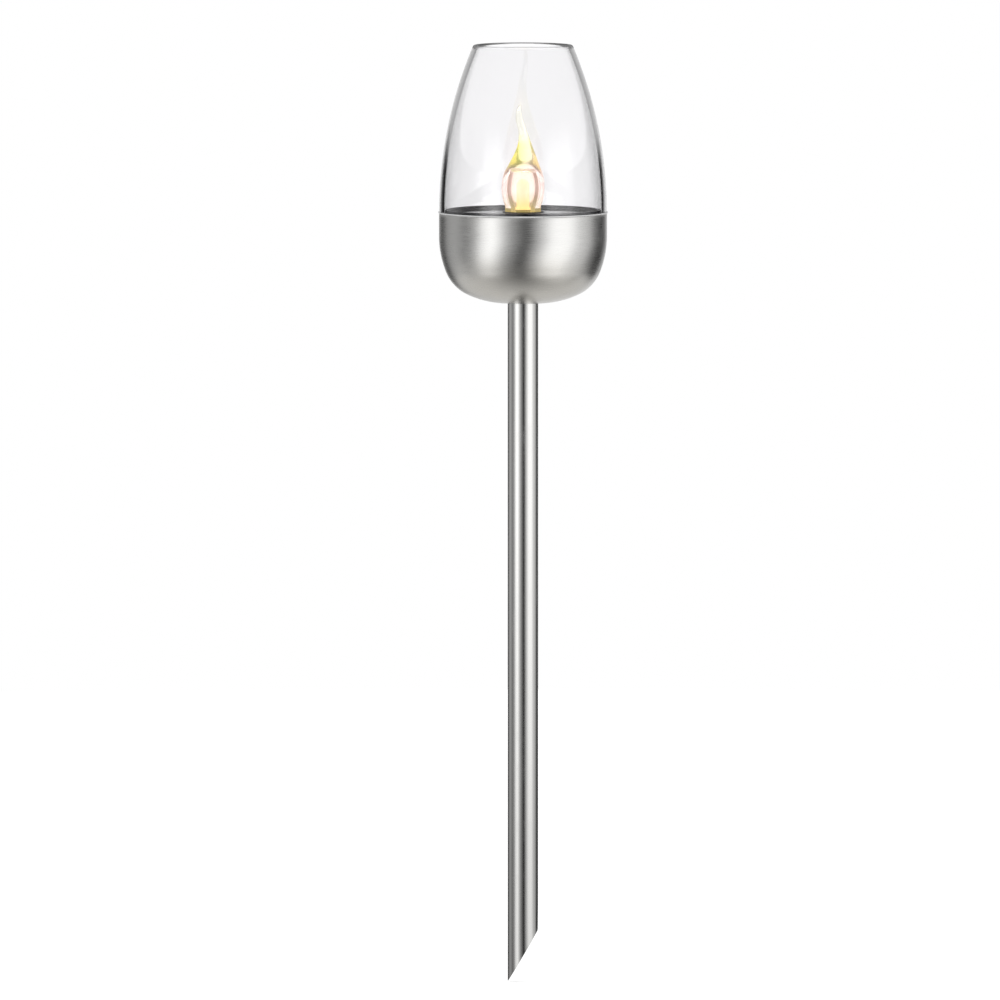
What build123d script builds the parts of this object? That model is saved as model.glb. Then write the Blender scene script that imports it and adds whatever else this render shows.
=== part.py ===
"""Solar garden torch on a stake: steel bowl, clear chimney, flame bulb and solar module.

Frame: millimetres, +Z up, origin on the stake's axis at the level of the spike's tip.
The front of the torch faces -Y and the spike's tip lies towards -X.
"""

from build123d import *
import os
from math import cos, radians, sin, tan

os.makedirs("parts", exist_ok=True)

# ---------------------------------------------------------------- driving dimensions
overall_height = 380.0
chimney_height = 67.6
bowl_height = 36.5
bezel_flange = 0.4  # how thick the bezel's flange is between bowl and chimney

tube_radius = 6.2
tube_wall = 0.5
spike_angle = 59.7  # slope of the oblique cut, from the horizontal

bowl_radius = 34.0
bowl_wall = 0.6
bowl_side_arc = 37.9  # radii of the three arcs of the bowl's outline
bowl_corner_arc = 17.3
bowl_bottom_flat = 7.0

chimney_foot_radius = 33.9
chimney_belly_radius = 30.2
chimney_rim_radius = 20.3
chimney_wall = 2.0

battery_radius = 5.25  # AAA cell
battery_length = 44.5

# ---------------------------------------------------------------- levels
rim_z = overall_height - chimney_height - bezel_flange  # the bowl's rim
foot_z = rim_z + bezel_flange  # the chimney's foot
bowl_z = rim_z - bowl_height  # underside of the bowl, where the tube ends
skin_z = bowl_z + bowl_wall  # inner face of the bowl's bottom

module_bottom = rim_z - 23.3
module_floor = 1.6
housing_top = rim_z - 2.6
housing_radius = 31.9
housing_wall = 1.8
bottom_radius = 28.6
chamfer_height = 8.0

bay_wall = 1.5
bay_length = 50.4
bay_width = 12.6
bay_roof_z = module_bottom + 14.4
pcb_z = module_bottom + 16.2
pcb_thickness = 1.6
pcb_top = pcb_z + pcb_thickness

board_thickness = 1.5
board_radius = 27.8
window_thickness = 0.8
cell_thickness = 0.25
window_top = foot_z - 0.1
window_z = window_top - window_thickness
cell_z = window_z - cell_thickness
board_z = cell_z - board_thickness

boss_circle = 29.7
boss_radius = 2.25
post_circle = 17.5
post_radius = 2.2
post_places = [(post_circle * cos(radians(turn)), post_circle * sin(radians(turn))) for turn in (62, 242)]


def ring(level, radius, bore, height):
    """A plain ring standing at a level, as a builder."""
    with BuildPart() as made:
        with BuildSketch(Plane.XY.offset(level)):
            Circle(radius)
            Circle(bore, mode=Mode.SUBTRACT)
        extrude(amount=height)
    return made


def finish(part, label):
    """Name a finished piece and write it."""
    part.label = label
    export_step(part, f"parts/{label}.step")


# ---------------------------------------------------------------- stake
cut_height = 2 * tube_radius * tan(radians(spike_angle))
with BuildPart() as stake_tube:
    with BuildSketch():
        Circle(tube_radius)
        Circle(tube_radius - tube_wall, mode=Mode.SUBTRACT)
    extrude(amount=bowl_z)
    with BuildSketch(Plane.XZ):
        with BuildLine():
            Polyline(
                (-tube_radius, 0),
                (tube_radius, cut_height),
                (2 * tube_radius, cut_height),
                (2 * tube_radius, -tube_radius),
                (-tube_radius, -tube_radius),
                close=True,
            )
        make_face()
    extrude(amount=2 * tube_radius, both=True, mode=Mode.SUBTRACT)
finish(stake_tube.part, "stake_tube")

# ---------------------------------------------------------------- bowl
washer_height = 0.8
washer_radius = 4.0
screw_bore = 1.7
side_drop = 13.0  # how far the side arc reaches below the straight rim band
side_z = rim_z - 9.5
side_run = bowl_radius - bowl_side_arc + (bowl_side_arc**2 - side_drop**2) ** 0.5
corner_foot = (24.0, bowl_z + 4.2)
with BuildPart() as bowl:
    with BuildSketch(Plane.XZ):
        with BuildLine():
            Line((0, bowl_z), (bowl_bottom_flat, bowl_z))
            TangentArc((bowl_bottom_flat, bowl_z), corner_foot, tangent=(1, 0))
            RadiusArc(corner_foot, (side_run, side_z - side_drop), -bowl_corner_arc)
            TangentArc((bowl_radius, side_z), (side_run, side_z - side_drop), tangent=(0, -1))
            Polyline((bowl_radius, side_z), (bowl_radius, rim_z), (0, rim_z), (0, bowl_z))
        make_face()
    revolve(axis=Axis.Z)
    offset(amount=-bowl_wall, openings=bowl.faces().sort_by(Axis.Z)[-1])
    with Locations((0, 0, skin_z)):
        Hole(radius=screw_bore)
finish(bowl.part, "bowl")

# ---------------------------------------------------------------- spigot and its screw
spigot_gap = 0.06
spigot_radius = tube_radius - tube_wall - spigot_gap
spigot_length = 30.0
spigot_core = 2.6
spigot_skin = 1.5
spigot_rib = 1.0
spigot_lead = 0.8  # chamfer at its lower end
spigot_cap = 3.0  # solid end under the bowl
screw_radius = 1.5
screw_length = 14.0
with BuildPart() as spigot:
    with BuildSketch(Plane.XY.offset(bowl_z - spigot_length)):
        Circle(spigot_radius)
    extrude(amount=spigot_length)
    chamfer(spigot.edges().sort_by(Axis.Z)[0], length=spigot_lead)
    with BuildSketch(Plane.XY.offset(bowl_z - spigot_length)):
        Circle(spigot_radius - spigot_skin)
        Circle(spigot_core, mode=Mode.SUBTRACT)
        with PolarLocations(0, 4):
            Rectangle(4 * spigot_radius, spigot_rib, mode=Mode.SUBTRACT)
    extrude(amount=spigot_length - spigot_cap, mode=Mode.SUBTRACT)
    with BuildSketch(Plane.XY.offset(bowl_z)):
        Circle(screw_radius)
    extrude(amount=-screw_length, mode=Mode.SUBTRACT)
finish(spigot.part, "spigot")

spigot_washer = ring(skin_z, washer_radius, screw_bore, washer_height)
finish(spigot_washer.part, "spigot_washer")

head_radius = 2.8
head_height = 2.0
cross_recess = (3.2, 0.7)
cross_depth = 1.0
with BuildPart() as spigot_screw:
    with BuildSketch(Plane.XY.offset(skin_z + washer_height)):
        Circle(head_radius)
    extrude(amount=head_height)
    fillet(spigot_screw.edges().sort_by(Axis.Z)[-1], radius=0.9)
    with BuildSketch(Plane.XY.offset(skin_z + washer_height)):
        Circle(screw_radius)
    extrude(amount=-(screw_length - 2.0))
    with BuildSketch(Plane.XY.offset(skin_z + washer_height + head_height)):
        Rectangle(*cross_recess)
        Rectangle(*reversed(cross_recess))
    extrude(amount=-cross_depth, mode=Mode.SUBTRACT)
finish(spigot_screw.part, "spigot_screw")

# ---------------------------------------------------------------- module housing
seal_radius = 0.9
seal_z = rim_z - 6.5
seal_run = housing_radius + 0.15
counterbore_depth = 14.0
counterbore_radius = 1.7
bezel_screw_bore = 1.15
lid_tongue = (10.0, 6.4)
lid_gap = 0.2
lid_screw_y = bay_width / 2 + 3.4
lid_boss_radius = 2.7
lid_boss_height = 6.0
lid_screw_radius = 0.9
lid_screw_depth = 4.5
board_screw_radius = 0.9
board_screw_length = 6.0
tab_spacing = 20.0
tab_size = (4.0, 1.2, 1.0)
switch_y = -18.5
switch_size = (8.6, 4.4, 4.4)
slot_size = (6.4, 2.2)
inner_radius = housing_radius - housing_wall
floor_top = module_bottom + module_floor
block = (bay_length + 2 * bay_wall, bay_width + 2 * bay_wall)
tail_width = 4.0
tail_thickness = 0.3
tail_slot = (0.6, tail_width + 0.6)
contact_gap = 0.1
tail_x = bay_length / 2 - contact_gap - tail_thickness / 2
switch_wire_pitch = 2.5
switch_wire_radius = 0.5

with BuildPart() as module_housing:
    # the cup
    with BuildSketch(Plane.XZ):
        with BuildLine():
            Polyline(
                (0, module_bottom),
                (bottom_radius, module_bottom),
                (housing_radius, module_bottom + chamfer_height),
                (housing_radius, housing_top),
                (inner_radius, housing_top),
                (inner_radius, module_bottom + chamfer_height + 1.0),
                (bottom_radius - module_floor, floor_top),
                (0, floor_top),
                close=True,
            )
        make_face()
    revolve(axis=Axis.Z)
    # battery bay, closed at the top by its roof
    with BuildSketch(Plane.XY.offset(module_bottom)):
        Rectangle(*block)
    extrude(amount=bay_roof_z + bay_wall - module_bottom)
    # screw bosses, two board posts and the lid's boss
    with BuildSketch(Plane.XY.offset(floor_top)):
        with PolarLocations(boss_circle, 3, start_angle=90):
            Circle(boss_radius)
    extrude(amount=housing_top - floor_top)
    with BuildSketch(Plane.XY.offset(floor_top)):
        with Locations(*post_places):
            Circle(post_radius)
    extrude(amount=pcb_z - floor_top)
    with BuildSketch(Plane.XY.offset(floor_top)):
        with Locations((0, lid_screw_y)):
            Circle(lid_boss_radius)
    extrude(amount=lid_boss_height)
    # the bosses end flush with the cup's outside
    with BuildSketch(Plane.XZ):
        with BuildLine():
            Polyline(
                (0, module_bottom),
                (bottom_radius, module_bottom),
                (housing_radius, module_bottom + chamfer_height),
                (housing_radius, housing_top),
                (0, housing_top),
                close=True,
            )
        make_face()
    revolve(axis=Axis.Z, mode=Mode.INTERSECT)
    # the bay itself, with the lid's recess and the slots of its two tabs
    with BuildSketch(Plane.XY.offset(module_bottom)):
        Rectangle(bay_length, bay_width)
    extrude(amount=bay_roof_z - module_bottom, mode=Mode.SUBTRACT)
    with BuildSketch(Plane.XY.offset(module_bottom)):
        with Locations((0, bay_width / 2 + lid_tongue[1] / 2)):
            Rectangle(*lid_tongue)
    extrude(amount=module_floor, mode=Mode.SUBTRACT)
    with BuildSketch(Plane.XY.offset(floor_top)):
        with GridLocations(tab_spacing, 0, 2, 1):
            with Locations((0, -bay_width / 2 - tab_size[1] / 2)):
                Rectangle(tab_size[0] + 2 * lid_gap, tab_size[1] + lid_gap)
    extrude(amount=tab_size[2] + lid_gap, mode=Mode.SUBTRACT)
    # slots for the contacts' tails through the roof
    with BuildSketch(Plane.XY.offset(bay_roof_z)):
        with GridLocations(2 * tail_x, 0, 2, 1):
            Rectangle(*tail_slot)
    extrude(amount=bay_wall, mode=Mode.SUBTRACT)
    # window of the switch's slider
    with BuildSketch(Plane.XY.offset(module_bottom)):
        with Locations((0, switch_y)):
            Rectangle(*slot_size)
    extrude(amount=module_floor, mode=Mode.SUBTRACT)
    # screw holes
    with BuildSketch(Plane.XY.offset(module_bottom)):
        with PolarLocations(boss_circle, 3, start_angle=90):
            Circle(counterbore_radius)
    extrude(amount=counterbore_depth, mode=Mode.SUBTRACT)
    with BuildSketch(Plane.XY.offset(module_bottom)):
        with PolarLocations(boss_circle, 3, start_angle=90):
            Circle(bezel_screw_bore)
    extrude(amount=housing_top - module_bottom, mode=Mode.SUBTRACT)
    with BuildSketch(Plane.XY.offset(pcb_z)):
        with Locations(*post_places):
            Circle(board_screw_radius)
    extrude(amount=-board_screw_length, mode=Mode.SUBTRACT)
    with BuildSketch(Plane.XY.offset(floor_top)):
        with Locations((0, lid_screw_y)):
            Circle(lid_screw_radius)
    extrude(amount=lid_screw_depth + 0.5, mode=Mode.SUBTRACT)
    # groove of the O-ring
    with BuildSketch(Plane.XZ):
        with Locations((seal_run, seal_z)):
            Circle(seal_radius)
    revolve(axis=Axis.Z, mode=Mode.SUBTRACT)
finish(module_housing.part, "module_housing")

with BuildPart() as module_seal:
    with BuildSketch(Plane.XZ):
        with Locations((seal_run, seal_z)):
            Circle(seal_radius)
    revolve(axis=Axis.Z)
finish(module_seal.part, "module_seal")

# ---------------------------------------------------------------- bezel, panel and window
bezel_bore = board_radius + 0.1
bezel_radius = bowl_radius + 0.3
bezel_screw_radius = 0.8
bezel_screw_bite = 2.0  # how deep the screws reach into the bezel
upstand_radius = chimney_foot_radius - chimney_wall - 0.4
upstand_height = 1.0
with BuildPart() as panel_bezel:
    with BuildSketch(Plane.XZ):
        with BuildLine():
            Polyline(
                (bezel_bore, housing_top),
                (housing_radius, housing_top),
                (housing_radius, rim_z),
                (bezel_radius, rim_z),
                (bezel_radius, foot_z),
                (upstand_radius, foot_z),
                (upstand_radius, foot_z + upstand_height),
                (upstand_radius - 1.0, foot_z + upstand_height),
                (upstand_radius - 1.4, foot_z),
                (bezel_bore, foot_z),
                close=True,
            )
        make_face()
    revolve(axis=Axis.Z)
    with BuildSketch(Plane.XY.offset(housing_top)):
        with PolarLocations(boss_circle, 3, start_angle=90):
            Circle(bezel_screw_radius)
    extrude(amount=bezel_screw_bite, mode=Mode.SUBTRACT)
finish(panel_bezel.part, "panel_bezel")

bezel_screw_z = module_bottom + counterbore_depth
bezel_head_height = 1.4
with BuildPart() as bezel_screws:
    with BuildSketch(Plane.XY.offset(bezel_screw_z)):
        with PolarLocations(boss_circle, 3, start_angle=90):
            Circle(bezel_screw_radius)
    extrude(amount=housing_top + bezel_screw_bite - 0.2 - bezel_screw_z)
    with BuildSketch(Plane.XY.offset(bezel_screw_z)):
        with PolarLocations(boss_circle, 3, start_angle=90):
            Circle(counterbore_radius - 0.15)
    extrude(amount=-bezel_head_height)
finish(bezel_screws.part, "bezel_screws")

neck_radius = 7.25
neck_gap = 0.15
window_bore = 8.6
wire_radius = 0.5
panel_wire_places = ((-14.0, 12.0), (-11.0, 14.6))
panel_board = ring(board_z, board_radius, neck_radius + neck_gap, board_thickness)
finish(panel_board.part, "panel_board")

cell_outer = board_radius - 0.6
cell_inner = window_bore + 0.6
cell_gap = 0.8
with BuildPart() as solar_cells:
    with BuildSketch(Plane.XY.offset(cell_z)):
        Circle(cell_outer)
        Circle(cell_inner, mode=Mode.SUBTRACT)
        Rectangle(2 * board_radius, cell_gap, mode=Mode.SUBTRACT)
        Rectangle(cell_gap, 2 * board_radius, mode=Mode.SUBTRACT)
    extrude(amount=cell_thickness)
finish(solar_cells.part, "solar_cells")

panel_window = ring(window_z, board_radius, window_bore, window_thickness)
finish(panel_window.part, "panel_window")

seal_top = foot_z + 0.2
bulb_seal = ring(cell_z, window_bore - 0.1, neck_radius + 0.05, seal_top - cell_z)
finish(bulb_seal.part, "bulb_seal")

# ---------------------------------------------------------------- flame bulb
bulb_wall = 3.85
bulb_roof_fillet = 1.2
bulb_foot_radius = 8.6
bulb_foot_height = 1.2
bulb_foot_z = board_z - bulb_foot_height
bulb_neck_top = foot_z + 2.2
belly = (8.75, foot_z + 9.0)
shoulder = (7.6, foot_z + 16.2)
# centre offset, radius and height of each section of the solid, bent tip
tip_sections = (
    (0.0, shoulder[0], shoulder[1]),
    (0.4, 5.9, foot_z + 19.6),
    (0.8, 4.1, foot_z + 24.2),
    (0.7, 2.5, foot_z + 28.4),
    (0.0, 1.8, foot_z + 32.5),
    (-1.4, 1.5, foot_z + 37.2),
    (-1.7, 1.1, foot_z + 41.0),
    (-1.2, 0.4, foot_z + 43.3),
)


def bulb_body(thickness):
    """The turned lower half of the bulb, as far inside its wall as the thickness says."""
    neck = neck_radius - thickness
    with BuildPart() as made:
        with BuildSketch(Plane.XZ):
            with BuildLine():
                Line((0, bulb_foot_z), (neck, bulb_foot_z))
                Line((neck, bulb_foot_z), (neck, bulb_neck_top))
                Spline(
                    (neck, bulb_neck_top),
                    (belly[0] - thickness, belly[1]),
                    (shoulder[0] - thickness, shoulder[1]),
                )
                Line((shoulder[0] - thickness, shoulder[1]), (0, shoulder[1]))
                Line((0, shoulder[1]), (0, bulb_foot_z))
            make_face()
        revolve(axis=Axis.Z)
    return made.part


with BuildPart() as bulb_cavity:
    add(bulb_body(bulb_wall))
    fillet(bulb_cavity.edges().sort_by(Axis.Z)[-1], radius=bulb_roof_fillet)

with BuildPart() as flame_bulb:
    add(bulb_body(0))
    for shift, radius, height in tip_sections:
        with BuildSketch(Plane.XY.offset(height)):
            with Locations((shift, 0)):
                Circle(radius)
    loft()
    with BuildSketch(Plane.XY.offset(bulb_foot_z)):
        Circle(bulb_foot_radius)
    extrude(amount=bulb_foot_height)
    add(bulb_cavity.part, mode=Mode.SUBTRACT)
finish(flame_bulb.part, "flame_bulb")

# ---------------------------------------------------------------- LED, spacer and board
led_z = foot_z + 1.0
led_radius = 2.6
led_flange = (3.1, 1.0)
led_body = 9.4
lead_pitch = 2.54
lead_radius = 0.25
with BuildPart() as led:
    with BuildSketch(Plane.XY.offset(led_z)):
        Circle(led_flange[0])
    extrude(amount=led_flange[1])
    with BuildSketch(Plane.XY.offset(led_z)):
        Circle(led_radius)
    extrude(amount=led_body)
    with Locations((0, 0, led_z + led_body)):
        Sphere(led_radius)
    with BuildSketch(Plane.XY.offset(led_z)):
        with GridLocations(lead_pitch, 0, 2, 1):
            Circle(lead_radius)
    extrude(amount=pcb_z - 0.2 - led_z)
finish(led.part, "led")

with BuildPart() as led_spacer:
    with BuildSketch(Plane.XY.offset(pcb_top)):
        Circle(led_flange[0])
        with GridLocations(lead_pitch, 0, 2, 1):
            Circle(lead_radius + 0.2, mode=Mode.SUBTRACT)
    extrude(amount=led_z - pcb_top)
finish(led_spacer.part, "led_spacer")

pcb_half_width = 21.0
pcb_radius = tail_x + 1.6
board_slot = 2.6
with BuildPart() as pcb:
    with BuildSketch(Plane.XY.offset(pcb_z)):
        Rectangle(2 * pcb_radius, 2 * pcb_half_width)
        Circle(pcb_radius, mode=Mode.INTERSECT)
        with GridLocations(lead_pitch, 0, 2, 1):
            Circle(lead_radius + 0.1, mode=Mode.SUBTRACT)
        with GridLocations(2 * tail_x, 0, 2, 1):
            Rectangle(tail_slot[0], board_slot, mode=Mode.SUBTRACT)
        with Locations(*post_places):
            Circle(board_screw_radius + 0.2, mode=Mode.SUBTRACT)
        with Locations((0, switch_y)):
            with GridLocations(2 * switch_wire_pitch, 0, 2, 1):
                Circle(switch_wire_radius + 0.1, mode=Mode.SUBTRACT)
    extrude(amount=pcb_thickness)
finish(pcb.part, "pcb")

board_screw_head = (1.9, 1.3)
with BuildPart() as pcb_screws:
    with BuildSketch(Plane.XY.offset(pcb_top)):
        with Locations(*post_places):
            Circle(board_screw_head[0])
    extrude(amount=board_screw_head[1])
    with BuildSketch(Plane.XY.offset(pcb_top)):
        with Locations(*post_places):
            Circle(board_screw_radius)
    extrude(amount=-board_screw_length)
finish(pcb_screws.part, "pcb_screws")

chip_y = 12.0
chip_size = (5.0, 4.0, 1.5)
chip_pin = (0.4, 1.4, 0.3)
chip_pitch = 1.27
chip_row = 2.5  # from the chip's middle to a row of pins
seated = (Align.CENTER, Align.CENTER, Align.MIN)
with BuildPart(Plane.XY.offset(pcb_top)) as driver_chip:
    with Locations((0, chip_y)):
        Box(*chip_size, align=seated)
    with GridLocations(chip_pitch, 0, 4, 1):
        with Locations((0, chip_y - chip_row), (0, chip_y + chip_row)):
            Box(*chip_pin, align=seated)
finish(driver_chip.part, "driver_chip")

inductor_place = (10.0, -11.0)
inductor_radius = 1.3
inductor_length = 7.0
with BuildPart() as inductor:
    with BuildSketch(Plane.YZ.offset(inductor_place[0])):
        with Locations((inductor_place[1], pcb_top + inductor_radius + 0.1)):
            Circle(inductor_radius)
    extrude(amount=inductor_length)
    fillet(inductor.edges(), radius=0.5)
finish(inductor.part, "inductor")

with BuildPart() as panel_wires:
    with BuildSketch(Plane.XY.offset(pcb_top)):
        with Locations(*panel_wire_places):
            Circle(wire_radius)
    extrude(amount=board_z - pcb_top)
finish(panel_wires.part, "panel_wires")

# ---------------------------------------------------------------- battery and contacts
battery_z = module_bottom + 7.9
nub_radius = 1.9
nub_height = 1.0
with BuildPart() as battery:
    with BuildSketch(Plane.YZ.offset(-battery_length / 2)):
        with Locations((0, battery_z)):
            Circle(battery_radius)
    extrude(amount=battery_length - nub_height)
    fillet(battery.edges(), radius=0.4)
    with BuildSketch(Plane.YZ.offset(battery_length / 2 - nub_height)):
        with Locations((0, battery_z)):
            Circle(nub_radius)
    extrude(amount=nub_height)
finish(battery.part, "battery")

tail_bottom = battery_z - 3.6
tail_pin = (2.0, pcb_thickness + 1.2)  # the end that is soldered in the board
plus_width = 7.0
minus_width = 7.6
button_radius = 1.5
with BuildPart() as battery_plus_contact:
    with BuildSketch(Plane.YZ.offset(tail_x - tail_thickness / 2)):
        with Locations((0, (tail_bottom + bay_roof_z) / 2)):
            Rectangle(plus_width, bay_roof_z - tail_bottom)
        with Locations((0, (bay_roof_z + pcb_z) / 2)):
            Rectangle(tail_width, pcb_z - bay_roof_z)
        with Locations((0, pcb_z + pcb_thickness / 2)):
            Rectangle(*tail_pin)
    extrude(amount=tail_thickness)
    plus_face = tail_x - tail_thickness / 2
    with BuildSketch(Plane.YZ.offset(plus_face)):
        with Locations((0, battery_z)):
            Circle(button_radius)
    extrude(amount=-(plus_face - battery_length / 2 - 0.02))
finish(battery_plus_contact.part, "battery_plus_contact")

spring_wire = 0.35
spring_radius = 3.0
spring_space = tail_x - tail_thickness / 2 - battery_length / 2
spring_turns = 2
with BuildPart() as battery_minus_contact:
    with BuildSketch(Plane.YZ.offset(-tail_x - tail_thickness / 2)):
        with Locations((0, (tail_bottom + bay_roof_z) / 2)):
            Rectangle(minus_width, bay_roof_z - tail_bottom)
        with Locations((0, (bay_roof_z + pcb_z) / 2)):
            Rectangle(tail_width, pcb_z - bay_roof_z)
        with Locations((0, pcb_z + pcb_thickness / 2)):
            Rectangle(*tail_pin)
    extrude(amount=tail_thickness)
    with BuildLine():
        spring_path = Helix(
            pitch=(spring_space - 2 * spring_wire) / spring_turns,
            height=spring_space - 2 * spring_wire,
            radius=spring_radius,
            center=(-tail_x + tail_thickness / 2 + 0.1, 0, battery_z),
            direction=(1, 0, 0),
        )
    with BuildSketch(Plane(spring_path @ 0, z_dir=spring_path % 0)):
        Circle(spring_wire)
    sweep(path=spring_path, is_frenet=True)
finish(battery_minus_contact.part, "battery_minus_contact")

lid_thickness = module_floor
lid_hole_radius = 1.2
lid_head = (2.0, 1.2)
with BuildPart() as battery_lid:
    with BuildSketch(Plane.XY.offset(module_bottom)):
        Rectangle(bay_length - 2 * lid_gap, bay_width - 2 * lid_gap)
        with Locations((0, bay_width / 2 + lid_tongue[1] / 2 - 1.0)):
            Rectangle(lid_tongue[0] - 2 * lid_gap, lid_tongue[1] + 2.0 - 2 * lid_gap)
    extrude(amount=lid_thickness)
    with BuildSketch(Plane.XY.offset(floor_top)):
        with GridLocations(tab_spacing, 0, 2, 1):
            with Locations((0, -bay_width / 2 - tab_size[1] / 2 + lid_gap + 0.5)):
                Rectangle(tab_size[0], tab_size[1] + 1.0)
    extrude(amount=tab_size[2])
    with BuildSketch(Plane.XY.offset(module_bottom)):
        with Locations((0, lid_screw_y)):
            Circle(lid_hole_radius)
    extrude(amount=lid_thickness, mode=Mode.SUBTRACT)
finish(battery_lid.part, "battery_lid")

with BuildPart() as lid_screw:
    with BuildSketch(Plane.XY.offset(module_bottom)):
        with Locations((0, lid_screw_y)):
            Circle(lid_head[0])
    extrude(amount=-lid_head[1])
    fillet(lid_screw.edges().sort_by(Axis.Z)[0], radius=0.5)
    with BuildSketch(Plane.XY.offset(module_bottom)):
        with Locations((0, lid_screw_y)):
            Circle(lid_screw_radius)
    extrude(amount=module_floor + lid_screw_depth)
finish(lid_screw.part, "lid_screw")

# ---------------------------------------------------------------- switch
knob_travel = 2.0
knob_size = (2.4, 1.6)
knob_root = 1.2  # how far the knob reaches into the switch
knob_reach = 1.0  # how far it stands out under the housing
knob_x = -knob_travel / 2
cavity = (knob_size[0] + knob_travel + 0.6, knob_size[1] + 0.6)
cavity_depth = 1.6
terminal_size = (0.8, 0.4)
terminal_height = 1.5
with BuildPart() as switch_body:
    with BuildSketch(Plane.XY.offset(floor_top)):
        with Locations((0, switch_y)):
            Rectangle(*switch_size[:2])
    extrude(amount=switch_size[2])
    with BuildSketch(Plane.XY.offset(floor_top)):
        with Locations((0, switch_y)):
            Rectangle(*cavity)
    extrude(amount=cavity_depth, mode=Mode.SUBTRACT)
    with BuildSketch(Plane.XY.offset(floor_top + switch_size[2])):
        with Locations((0, switch_y)):
            with GridLocations(switch_wire_pitch, 0, 3, 1):
                Rectangle(*terminal_size)
    extrude(amount=terminal_height)
finish(switch_body.part, "switch_body")

with BuildPart() as switch_knob:
    with BuildSketch(Plane.XY.offset(floor_top + knob_root)):
        with Locations((knob_x, switch_y)):
            Rectangle(*knob_size)
    extrude(amount=-(knob_root + module_floor + knob_reach))
    chamfer(switch_knob.faces().sort_by(Axis.Z)[0].edges(), length=0.2)
finish(switch_knob.part, "switch_knob")

with BuildPart() as switch_wires:
    with BuildSketch(Plane.XY.offset(floor_top + switch_size[2] + terminal_height)):
        with Locations((0, switch_y)):
            with GridLocations(2 * switch_wire_pitch, 0, 2, 1):
                Circle(switch_wire_radius)
    extrude(amount=pcb_top + 0.6 - (floor_top + switch_size[2] + terminal_height))
finish(switch_wires.part, "switch_wires")

# ---------------------------------------------------------------- chimney
belly_z = foot_z + 35.6
straight_foot = 3.0
rim_fillet = 0.45 * chimney_wall
rim_lift = 0.28  # what rounding takes off the rim's height
with BuildPart() as chimney:
    with BuildSketch(Plane.XZ) as chimney_section:
        with BuildLine():
            Line((chimney_foot_radius, foot_z), (chimney_foot_radius, foot_z + straight_foot))
            ThreePointArc(
                (chimney_foot_radius, foot_z + straight_foot),
                (chimney_belly_radius, belly_z),
                (chimney_rim_radius, overall_height + rim_lift),
            )
            offset(amount=chimney_wall, side=Side.LEFT)
        make_face()
        fillet(chimney_section.vertices().sort_by(Axis.Y)[-2:], radius=rim_fillet)
    revolve(axis=Axis.Z)
finish(chimney.part, "chimney")
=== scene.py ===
import math

import bmesh
import bpy
from bpy.props import FloatProperty, FloatVectorProperty, IntProperty, PointerProperty
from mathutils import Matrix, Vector


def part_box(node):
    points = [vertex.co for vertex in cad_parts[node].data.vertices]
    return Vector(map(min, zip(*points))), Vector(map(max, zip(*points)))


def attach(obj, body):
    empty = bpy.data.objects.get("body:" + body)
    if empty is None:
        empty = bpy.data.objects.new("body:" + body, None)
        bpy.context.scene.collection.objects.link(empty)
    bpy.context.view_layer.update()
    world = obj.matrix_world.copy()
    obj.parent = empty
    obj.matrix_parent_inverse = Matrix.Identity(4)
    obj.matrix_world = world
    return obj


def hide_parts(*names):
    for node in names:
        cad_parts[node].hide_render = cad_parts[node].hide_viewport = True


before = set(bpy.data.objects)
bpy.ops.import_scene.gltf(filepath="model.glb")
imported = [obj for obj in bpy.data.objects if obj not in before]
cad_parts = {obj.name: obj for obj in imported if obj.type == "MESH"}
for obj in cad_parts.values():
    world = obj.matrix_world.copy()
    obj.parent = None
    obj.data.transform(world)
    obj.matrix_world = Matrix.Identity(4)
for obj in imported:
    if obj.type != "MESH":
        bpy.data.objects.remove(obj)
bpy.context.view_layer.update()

bl_info = {
    "name": "Solar Garden Torch",
    "version": (1, 0, 0),
    "blender": (4, 5, 0),
    "location": "View3D > Sidebar > Torch",
    "description": "Builds the visible pieces and finishes of a solar garden torch",
    "category": "Add Mesh",
}

MM = 0.001


# ---------------------------------------------------------------- places read from the frame
def low(node):
    """Lowest corner of a node of the frame."""
    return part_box(node)[0]


def high(node):
    """Highest corner of a node of the frame."""
    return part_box(node)[1]


rim_level = high("bowl").z
bowl_level = low("bowl").z
foot_level = low("chimney").z
top_level = high("chimney").z


# ---------------------------------------------------------------- what a user would change
def distance(name, description, default):
    """A length property."""
    return FloatProperty(name=name, description=description, default=default, unit="LENGTH")


def colour(name, description, default):
    """A colour property."""
    return FloatVectorProperty(
        name=name, description=description, default=default, subtype="COLOR", size=3, min=0.0, max=1.0
    )


class TorchSizes(bpy.types.PropertyGroup):
    """Sizes of the visible pieces that the frame's boxes don't give."""

    ring_steps: IntProperty(
        name="Ring steps", description="Faces round each turned piece", default=192, min=24
    )
    spike_angle: FloatProperty(
        name="Spike angle",
        description="Slope of the stake's oblique cut, from the horizontal",
        default=math.radians(59.7),
        subtype="ANGLE",
    )
    tube_wall: distance("Tube wall", "Wall of the stake's tube", 0.5 * MM)
    bowl_wall: distance("Bowl wall", "Sheet thickness of the bowl", 0.6 * MM)
    chimney_wall: distance("Chimney wall", "Wall of the clear chimney", 2.0 * MM)
    bulb_wall: distance("Bulb wall", "Wall of the flame bulb's lower half", 3.85 * MM)
    surround_radius: distance("Surround radius", "Where the bezel turns from dark to pale", 31.6 * MM)
    finger_pitch: distance("Finger pitch", "From one silver finger to the next", 1.5 * MM)
    finger_width: distance("Finger width", "Width of a silver finger", 0.12 * MM)
    busbar_pitch: distance("Busbar pitch", "From one busbar to the next", 13.0 * MM)
    busbar_width: distance("Busbar width", "Width of a busbar", 0.9 * MM)


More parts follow.
